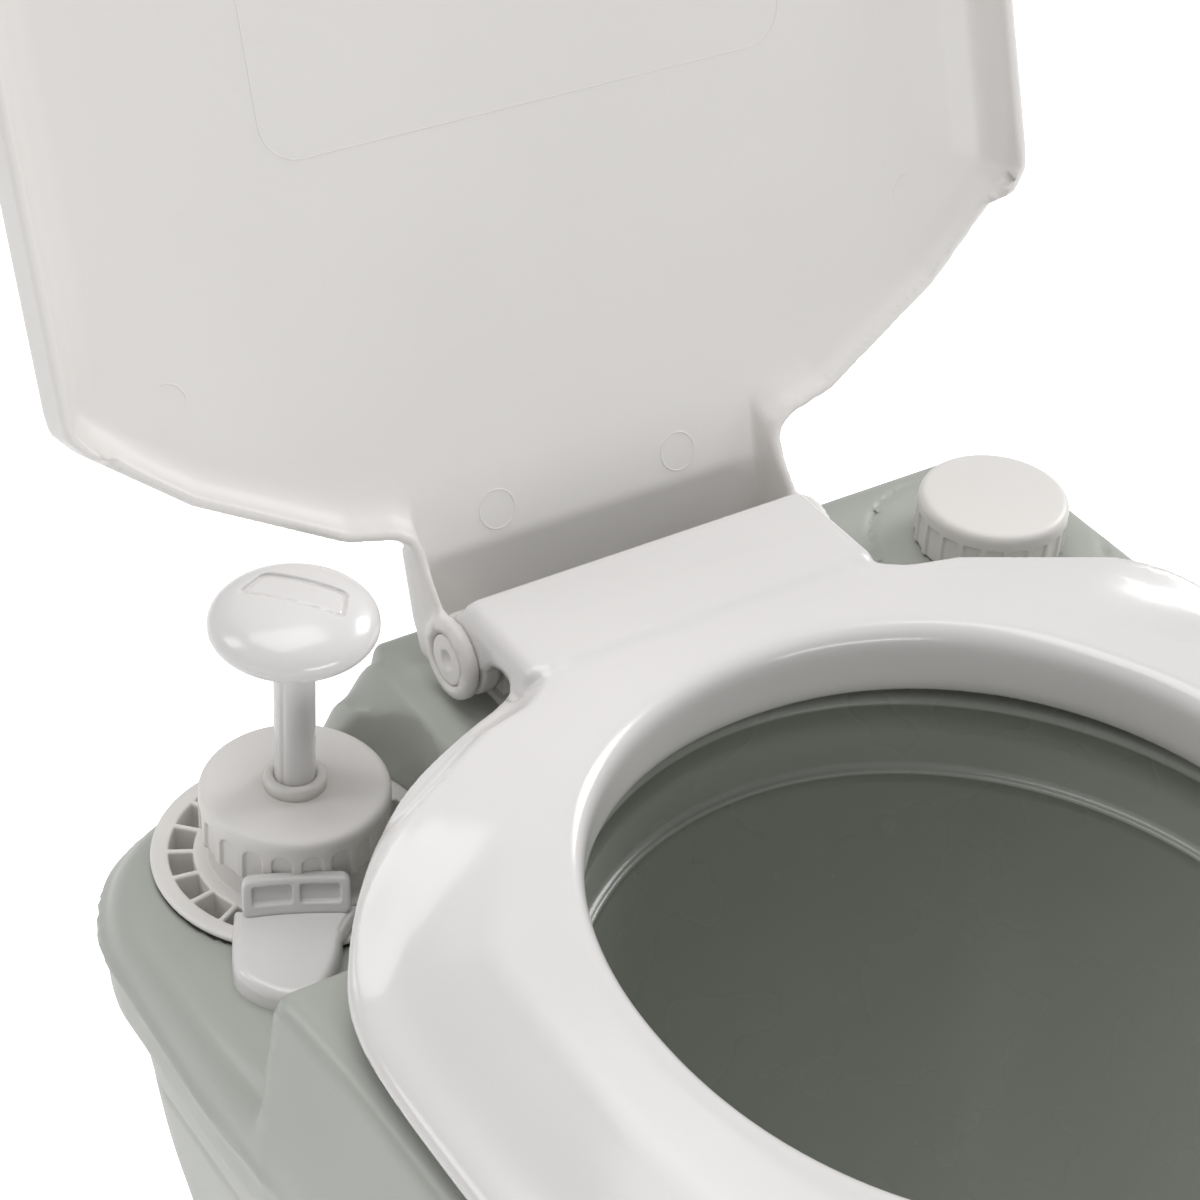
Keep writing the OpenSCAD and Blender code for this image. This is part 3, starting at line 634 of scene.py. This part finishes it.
def ring_tube(points, r, sides=8):
    """Closed tube of radius r along a loop of points that lies in the lid's plane."""
    points = np.asarray(points, float)
    ahead, behind = np.roll(points, -1, 0), np.roll(points, 1, 0)
    along = (ahead - behind) / np.linalg.norm(ahead - behind, axis=1)[:, None]
    up = np.array([0, 0, 1.0])
    out = np.cross(along, up)
    angle = np.arange(sides) * 2 * math.pi / sides
    tube = points[:, None] + r * (out[:, None] * np.cos(angle)[None, :, None] + up * np.sin(angle)[None, :, None])
    n = len(points)
    faces = [(i * sides + k, i * sides + (k + 1) % sides, (i + 1) % n * sides + (k + 1) % sides, (i + 1) % n * sides + k)
             for i in range(n) for k in range(sides)]
    return tube.reshape(-1, 3), faces


def make_lid():
    points, quads = field_mesh(lid_shut, (-LID_HALF - 3, -16, -16), (LID_HALF + 3, LID_LENGTH + 3, PLATE_TOP + 3), 1.7)
    lid = mesh_object("lid_shape", lid_frame(points), quads[:, ::-1])
    piece(lid, "lid", LID, ["lid"])
    spots = [(s * 135, 95.5) for s in (-1, 1)] + [(s * 33.8, 34.2) for s in (-1, 1)]
    spots += [(s * 120, 300) for s in (-1, 1)]
    for number, (cx, cv) in enumerate(spots):
        loop = [(cx + 6.3 * math.cos(a), cv + 6.3 * math.sin(a), PLATE_LOW + 0.05) for a in np.linspace(0, 2 * math.pi, 49)[:-1]]
        tube, faces = ring_tube(loop, 0.28)
        piece(mesh_object(f"lid_ejector_mark_{number}", lid_frame(tube), faces), "lid", LID)
    half, low_v, high_v, r = 91.7, 155.5, 318, 12.5
    loop = []
    for cx, cv, start in ((half - r, low_v + r, -90), (half - r, high_v - r, 0), (r - half, high_v - r, 90), (r - half, low_v + r, 180)):
        loop += [(cx + r * math.cos(a), cv + r * math.sin(a), PLATE_LOW + 0.05) for a in np.radians(np.linspace(start, start + 90, 9))]
    tube, faces = ring_tube(loop, 0.22)
    piece(mesh_object("lid_panel_line", lid_frame(tube), faces), "lid", LID)


# ---- hinge pins ----


def make_hinge_pins():
    for side, name in ((-1, "hinge_pin_left"), (1, "hinge_pin_right")):
        def pin(x, y, z, s=side):
            r, u = np.hypot(y - HINGE_Y, z - HINGE_Z), s * x
            shank = np.maximum(r - 5, slab(u, 42.5, 67.6))
            head = both(r - 8.2, slab(u, 67.3, 69.4), 0.8)
            dish = np.sqrt((u - 71.4) ** 2 + r**2) - 3.8
            return cut(np.minimum(shank, head), dish, 0.6)
        low, high = node_box(name)
        solid(name, pin, low - 1.5, high + 1.5, 0.45, "upper_unit", satin_look)


# ---- pump ----


def make_pump_knob():
    low, high = node_box("pump_knob")
    mid = (KNOB_TOP * 0.85 + KNOB_LOW) / 1.85
    r_max = (high[0] - low[0]) / 2
    turn = math.radians(-50)

    def knob(x, y, z):
        u, v = x - PUMP_X, y - PUMP_Y
        r = np.hypot(u, v)
        up, down = KNOB_TOP - mid, mid - KNOB_LOW
        h = np.where(z > mid, up, down)
        n = ((r / r_max) ** 2.5 + np.abs((z - mid) / h) ** 2.1 + 1e-9) ** (1 / 2.3)
        body = (n - 1) * np.minimum(h, r_max) * 0.95
        a = u * math.cos(turn) + v * math.sin(turn)
        b = -u * math.sin(turn) + v * math.cos(turn) - 3.5
        taper = 16.2 - 0.28 * (b + 5)
        plate = np.maximum(rounded_rect(a, b, taper, 6, 2.2), KNOB_TOP - 1.0 - (r / r_max) ** 2 * 4.2 - z)
        body = cut(body, plate, 0.5)
        raised = np.maximum(rounded_rect(a, b, taper - 1.3, 4.7, 1.6), z - (KNOB_TOP - 0.55 - (r / r_max) ** 2 * 4.2))
        return join(body, np.maximum(raised, KNOB_TOP - 4 - z), 0.3)

    solid("pump_knob", knob, low - 1.5, high + 1.5, 0.55, "pump_handle", gloss_look)


def make_pump_rod():
    low, high = node_box("pump_rod")

    def rod(x, y, z):
        u, v = x - PUMP_X, y - PUMP_Y
        body = both(np.hypot(u, v) - 6.2, slab(z, low[2], high[2]), 0.5)
        hole = np.hypot(u * 0.5 + v * 0.866, z - (high[2] - 34)) - 1.6
        groove = np.maximum(np.hypot(u + 5.9, v + 3.1) - 0.9, NUT_TOP - 60 - z)
        return cut(cut(body, hole, 0.7), groove, 0.3)

    solid("pump_rod", rod, low - 1, high + 1, 0.75, "pump_handle", gloss_look)


def make_pump_bush():
    z0, z1 = node_box("pump_bush")[0][2], node_box("pump_bush")[1][2]
    inner = [(6.28, z0), (6.28, z1 - 1)] + arc(7.4, z1 - 1.1, 1.1, 180, 90, 5)
    outer = arc(8.3, z1 - 1.3, 1.3, 90, 0, 5) + [(9.6, NUT_TOP + 0.05), (8.15, NUT_TOP + 0.05), (8.15, z0)]
    lathe("pump_bush_collar", inner + outer, "pump_nut", satin_look, ["pump_bush"], (PUMP_X, PUMP_Y))


def fluted_cap(x, y, z, centre, r_out, r_in, low, top, inner_top, window, arched, count=20):
    """Screw cap with a ring of shallow windows in its side. window is (half width, top height)."""
    u, v = x - centre[0], y - centre[1]
    r = np.hypot(u, v)
    body = both(r - r_out, z - top, 3.2)
    body = both(body, low - z, 0.8)
    body = cut(body, np.maximum(r - r_in, z - inner_top), 0.5)
    across = around(u, v, count) * r_out
    half, height = window
    if arched:
        shape = np.where(z > height - half, np.hypot(across, z - height + half) - half, np.abs(across) - half)
    else:
        shape = rounded_rect(across, z - (low - 6 + height) / 2, half, (height - low + 6) / 2, 0.8)
    return cut(body, np.maximum(shape, r_out - 1.0 - r), 0.35)


def make_pump_nut():
    low, high = node_box("pump_nut")
    r_out = (high[0] - low[0]) / 2

    def nut(x, y, z):
        body = fluted_cap(x, y, z, (PUMP_X, PUMP_Y), r_out, 24.9, NUT_LOW, NUT_TOP, NUT_TOP - 2.6, (3.1, NUT_LOW + 11.5), True)
        return cut(body, disc(x - PUMP_X, y - PUMP_Y, 8.2), 0.3)

    solid("pump_nut", nut, low - 1.5, high + 1.5, 0.55, "pump_nut", satin_look)


def make_pump_flange():
    low, high = node_box("pump_flange")

    def flange(x, y, z):
        u, v = x - PUMP_X, y - PUMP_Y
        r = np.hypot(u, v)
        ring = both(r - 44, slab(z, FLANGE_TOP - 2.2, FLANGE_TOP), 1.4)
        skirt = np.maximum(r - 40.8, slab(z, low[2], FLANGE_TOP - 1))
        neck = both(r - 26.6, slab(z, low[2], NUT_LOW - 0.4), 1)
        thread = both(r - 24.4, slab(z, low[2], high[2]), 0.8)
        body = np.minimum(np.minimum(ring, skirt), join(neck, thread, 0.5))
        across = around(u, v, 20) * r
        pocket = np.maximum(slab(r, 31, 38.4), 0.9 - (math.pi / 20 * r - np.abs(across)))
        body = cut(body, np.maximum(pocket, low[2] + 1.8 - z), 0.7)
        return cut(body, r - 22.55, 0.3)

    solid("pump_flange", flange, low - 1.5, high + 1.5, 0.65, "upper_unit", satin_look)


COVER_TURN = math.radians(-25)


def cover_axes(x, y):
    """Across and along the flush channel, which leaves the pump forward and to the left."""
    u, v = x - PUMP_X, y - PUMP_Y
    return u * math.cos(COVER_TURN) + v * math.sin(COVER_TURN), u * math.sin(COVER_TURN) - v * math.cos(COVER_TURN)


# Outline of the channel cover: (across, behind the hinge axis)
LEAF = softened([(-145, -8), (-164.5, -40), (-166, -50), (-158.5, -63), (-148, -65.5), (-138, -57), (-130, -46),
                 (-117, -38), (-113, -27)], 2)


def make_channel_cover():
    low, high = node_box("flush_channel_cover")

    def cover(x, y, z):
        a, b = cover_axes(x, y)
        leaf = polygon_field(x, y - HINGE_Y, LEAF)
        shape = np.maximum(leaf, 31.5 - b)
        top = FLANGE_TOP + 5.4 - 0.022 * np.maximum(b - 46, 0) ** 1.2
        body = both(shape, z - top, 3.4)
        body = both(body, FLANGE_TOP - np.where(b > 45, 5, -0.2) - z, 0.6)
        rim = np.maximum(np.abs(leaf + 1.5) - 0.45, slab(b, 33, 43))
        body = cut(body, np.maximum(rim, top - 0.5 - z), 0.4)
        return both(body, WELL_FRONT + 0.4 - y, 0.6)

    solid("flush_channel_cover", cover, low - (3, 3, 6), high + 3, 0.6, "upper_unit", gloss_look)


def make_cover_clip():
    low, high = node_box("cover_clip")

    def clip(x, y, z):
        a, b = cover_axes(x, y)
        a = a + 1.5
        lean = b - 33.6 - np.abs(a) ** 2 * 0.004 + (z - low[2]) * 0.5
        frame_d = both(rounded_rect(a, z - low[2] - 4.6, 16, 5.0, 2.4), np.abs(lean) - 1.9, 1.2)
        for side in (-1, 1):
            window = np.maximum(rounded_rect(a - side * 7.1, z - low[2] - 5.3, 5.9, 2.5, 0.8), -1.2 - lean)
            frame_d = cut(frame_d, np.maximum(window, 0.2 - lean), 0.4)
        return frame_d

    solid("cover_clip", clip, low - (5, 5, 2), high + (5, 5, 8), 0.5, "upper_unit", gloss_look)


# ---- waste tank and its fittings ----


def waste_tank(x, y, z):
    low, high = node_box("waste_tank")
    half_x, half_y = high[0], high[1]
    knots, inset = [0, 8, 84, WAIST_Z - 7], [9, 4, 0, 12]
    x_in, y_in = profile(z, knots, inset, 4), profile(z, knots, [7, 3, 0, 8], 4)
    side = plan(x, y, half_x - x_in, half_y - y_in, half_y - y_in, 76, 40, 40)
    side = side + 0.9 * np.exp(-(((z - 52) / 2.2) ** 2)) - 1.2 * np.exp(-(((z - 150) / 3) ** 2))
    body = both(side, slab(z, low[2], high[2]), 8)
    bay = brick(x + 23, y - 116 - 80, z - 96 - 60, (131, 80, 60), 6)
    body = cut(body, bay, 3)
    channel = brick(x, y + HALF_DEPTH + 20 - 145, z - 166 - 30, (62, 145, 30), 3)
    body = cut(body, channel, 3)
    latch_bay = brick(np.abs(x) - 149.5 - 40, y, z - 122 - 39, (40, 20, 39), 3)
    body = cut(body, latch_bay, 3)
    grip = brick(x, y + half_y + 4, z - 152, (60, 16, 10), 8)
    body = cut(body, grip, 6)
    body = cut(body, np.maximum(disc(x, y - OUTLET_Y, OUTLET_R + 2), 150 - z), 1)
    return cut(body, np.hypot(np.abs(x) - 160.7, z - node_mid("latch_pins")[2]) - 3.05 + np.maximum(np.abs(y) - 31, 0), 0.2)


HALF_DEPTH = BODY_REAR


def make_waste_tank():
    low, high = node_box("waste_tank")
    solid("waste_tank", waste_tank, low - 6, high + 6, 2.8, "waste_unit", tank_look)


def make_latches():
    pin_z = node_mid("latch_pins")[2]
    for side, name in ((-1, "latch_left"), (1, "latch_right")):
        def latch(x, y, z, s=side):
            u = s * x - 160.7
            shape = polygon_field(u, z, [(-2.7, pin_z), (-2.7, 196.5), (-11.7, 205.5), (-11.7, 209), (-7.7, 214),
                                         (0, 214), (2.8, 209), (2.8, pin_z)])
            shape = join(shape, np.hypot(u, z - pin_z) - 6, 2.5)
            body = both(shape, np.abs(y) - 15, 1.6)
            grips = np.abs((z - 170) % 5 - 2.5) - 0.8
            body = cut(body, np.maximum(np.maximum(grips, slab(z, 155, 192)), np.maximum(2.2 - u, np.abs(y) - 11)), 0.5)
            return cut(body, np.hypot(u, z - pin_z) - 3.08, 0.3)
        low, high = node_box(name)
        solid(name, latch, low - 2, high + 2, 0.8, name, gloss_look)


def make_valve_handle():
    low, high = node_box("valve_handle")
    mid = (low + high) / 2
    half = (high - low) / 2

    def handle(x, y, z):
        body = brick(x - mid[0], y - mid[1], z - mid[2], half, 4.4)
        grip = brick(x, y - mid[1] - 1, z - mid[2] + 3, (half[0] - 11, 3.2, half[2]), 2)
        ribs = np.abs(x % 8 - 4) - 1
        body = cut(body, np.maximum(np.maximum(ribs, np.abs(x) - 34), np.maximum(y - low[1] - 0.7, slab(z, low[2] + 3, high[2] - 3))), 0.4)
        return cut(body, np.maximum(grip, z - high[2] + 3), 1)

    solid("valve_handle", handle, low - 2, high + 2, 0.8, "valve_slide", gloss_look)


def make_spout():
    low, high = node_box("pour_spout")
    r = (high[1] - low[1]) / 2
    px, py = low[0] + r, (low[1] + high[1]) / 2
    pz = high[2] - r

    def spout(x, y, z, grow=0.0):
        up = np.maximum(np.hypot(x - px, y - py) - r + grow, slab(z, low[2] - 9 * (grow > 0), pz))
        arm = np.maximum(np.hypot(y - py, z - pz) - r + grow, slab(x, px, high[0] + 9 * (grow > 0)))
        bend = np.sqrt((x - px) ** 2 + (y - py) ** 2 + (z - pz) ** 2) - r + grow
        return join(join(up, arm, 6), bend, 1)

    def pipe(x, y, z):
        body = spout(x, y, z)
        bead = np.hypot(np.hypot(y - py, z - pz) - r, x - (px + 56)) - 1.6
        return cut(join(body, bead, 1), spout(x, y, z, 2.5), 0.6)

    solid("pour_spout", pipe, low - 3, high + 3, 1.1, "pour_spout", satin_look)
    cap_low, cap_high = node_box("spout_cap")

    def cap(x, y, z):
        radius = np.hypot(y - py, z - pz)
        body = both(radius - r - 4.5, slab(x, cap_low[0], cap_high[0]), 1.8)
        body = cut(body, np.maximum(radius - r - 0.08, x - cap_high[0] + 3), 0.4)
        flute = np.hypot(around(y - py, z - pz, 18) * (r + 5.2), radius - r - 5.2) - 1.6
        body = cut(body, np.maximum(flute, x - cap_high[0] + 4), 0.5)
        ring = np.abs(radius - r + 5) - 0.6
        return cut(body, np.maximum(ring, cap_high[0] - 0.6 - x), 0.3)

    solid("spout_cap", cap, cap_low - 1.5, cap_high + 1.5, 0.7, "spout_cap", gloss_look)


def make_vent_spring():
    """Coil under the vent button."""
    low, high = node_box("vent_spring")
    wire, turns = 0.45, 4
    mid, reach = (low + high) / 2, (high[0] - low[0]) / 2 - wire
    turn = np.linspace(0, turns * 2 * math.pi, turns * 24 + 1)
    height = np.linspace(low[2] + wire, high[2] - wire, len(turn))
    angle = np.arange(8) * math.pi / 4
    across = reach + wire * np.cos(angle)[None]
    x, y = mid[0] + across * np.cos(turn)[:, None], mid[1] + across * np.sin(turn)[:, None]
    z = height[:, None] + wire * np.sin(angle)[None]
    points = np.stack([x, y, z], -1).reshape(-1, 3)
    last = 8 * (len(turn) - 1)
    faces = [(i * 8 + k, i * 8 + (k + 1) % 8, i * 8 + 8 + (k + 1) % 8, i * 8 + 8 + k)
             for i in range(len(turn) - 1) for k in range(8)]
    faces += [tuple(range(7, -1, -1)), tuple(range(last, last + 8))]
    material, slot = steel_look
    spring = piece(mesh_object("vent_coil", points, faces), "waste_unit", material, ["vent_spring"])
    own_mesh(spring)


# ---- filler ----


def make_fill_cap():
    low, high = node_box("fill_cap")
    r_out = (high[0] - low[0]) / 2

    def cap(x, y, z):
        return fluted_cap(x, y, z, (FILL_X, FILL_Y), r_out, 22.58, low[2], high[2], low[2] + 15.6, (2.9, low[2] + 12.5), False)

    solid("fill_cap", cap, low - 1.5, high + 1.5, 0.55, "fill_cap", satin_look)


# ---- nodes that keep their own shape ----


ROUNDED = {"valve_frame": 0.5, "valve_blade": 0.5, "hinge_bracket": 0.6, "spout_collar": 0.6, "vent_cup": 0.6,
           "vent_button": 0.8, "seat_bumpers": 0.8, "fill_neck": 0.4, "flush_nozzle": 0.5}


def dress_frame_nodes():
    """Every frame node gets the material of its slot, the valve blade dark plastic instead; the nodes listed in ROUNDED
    also get softly rounded edges.
    """
    by_slot = {"tank_plastic": TANK, "gloss_white": GLOSS, "satin_white": SATIN, "seal_rubber": RUBBER, "steel": STEEL}
    slots = {s["node"]: s["material_slot"] for s in frame["record"]["subparts"]}
    for name, obj in frame["nodes"].items():
        material = DARK if name == "valve_blade" else by_slot[slots[name]]
        for index in range(len(obj.material_slots)):
            obj.material_slots[index].material = material
        if name in ROUNDED:
            bevel = obj.modifiers.new("rounded_edges", "BEVEL")
            bevel.width, bevel.segments, bevel.angle_limit = ROUNDED[name] * MM, 2, math.radians(50)
            bevel.limit_method, bevel.harden_normals = "ANGLE", False


# ---- stage ----


def make_floor():
    size = 6
    points = [(-size, -size, 0), (size, -size, 0), (size, size, 0), (-size, size, 0)]
    floor = mesh_object("floor", np.array(points) / MM, [(0, 1, 2, 3)])
    floor.location.z = -0.0005
    material, nodes, links, bsdf = shader("pale_floor")
    coords = nodes.new("ShaderNodeTexCoord").outputs["Object"]
    links.new(tint(nodes, links, noise(nodes, links, 2, 2, coords), (0.93, 0.93, 0.93), (0.97, 0.97, 0.97)), bsdf.inputs["Base Color"])
    bsdf.inputs["Roughness"].default_value = 0.7
    bsdf.inputs["Emission Color"].default_value = (1, 1, 1, 1)
    seen = nodes.new("ShaderNodeLightPath").outputs["Is Camera Ray"]
    links.new(remap(nodes, links, seen, 0, 1, 0.25, 0.6), bsdf.inputs["Emission Strength"])
    floor.data.materials.append(material)


def area_light(name, place, target, size, watts):
    light = bpy.data.lights.new(name, "AREA")
    light.shape, light.size, light.size_y, light.energy = "RECTANGLE", size[0], size[1], watts
    obj = bpy.data.objects.new(name, light)
    obj.location = place
    obj.rotation_mode = "QUATERNION"
    obj.rotation_quaternion = (Vector(target) - Vector(place)).to_track_quat("-Z", "Y")
    bpy.context.scene.collection.objects.link(obj)


def make_lights():
    middle = (0, 0, 0.35)
    area_light("top_softbox", (-0.1, 0.5, 2.2), middle, (1.5, 1.2), 17)
    area_light("right_key", (1.7, 0.3, 1.4), middle, (0.8, 0.8), 17)
    area_light("low_front", (0.1, -2.3, 0.5), (0, 0, 0.5), (1.8, 0.5), 19)
    area_light("left_rim", (-1.3, 0.9, 1.3), middle, (0.5, 0.8), 5)
    world = bpy.data.worlds.new("studio")
    world.use_nodes = True
    world.node_tree.nodes["Background"].inputs["Color"].default_value = (1, 1, 1, 1)
    nodes, links = world.node_tree.nodes, world.node_tree.links
    seen = nodes.new("ShaderNodeLightPath").outputs["Is Camera Ray"]
    links.new(remap(nodes, links, seen, 0, 1, 0.40, 1.0), nodes["Background"].inputs["Strength"])
    bpy.context.scene.world = world
    bpy.context.scene.view_settings.view_transform = "Standard"


def make_camera():
    """Looks down from the front left at the pump corner."""
    data = bpy.data.cameras.new("camera")
    data.sensor_width, data.lens = 36, 91.34
    camera = bpy.data.objects.new("camera", data)
    right = Vector((0.8395, -0.5406, 0.0548))
    up = Vector((0.2885, 0.5290, 0.7980))
    back = right.cross(up)
    place = Vector((-450.6, HINGE_Y - 620.4, HINGE_Z + 572.0)) * MM
    camera.matrix_world = Matrix.Translation(place) @ Matrix((right, up, back)).transposed().to_4x4()
    bpy.context.scene.collection.objects.link(camera)
    bpy.context.scene.camera = camera


make_upper_tank()
make_bowl()
make_seat()
make_lid()
make_hinge_pins()
make_pump_knob()
make_pump_rod()
make_pump_bush()
make_pump_nut()
make_pump_flange()
make_channel_cover()
make_cover_clip()
make_fill_cap()
make_waste_tank()
make_latches()
make_valve_handle()
make_spout()
make_vent_spring()
dress_frame_nodes()
make_floor()
make_lights()
make_camera()
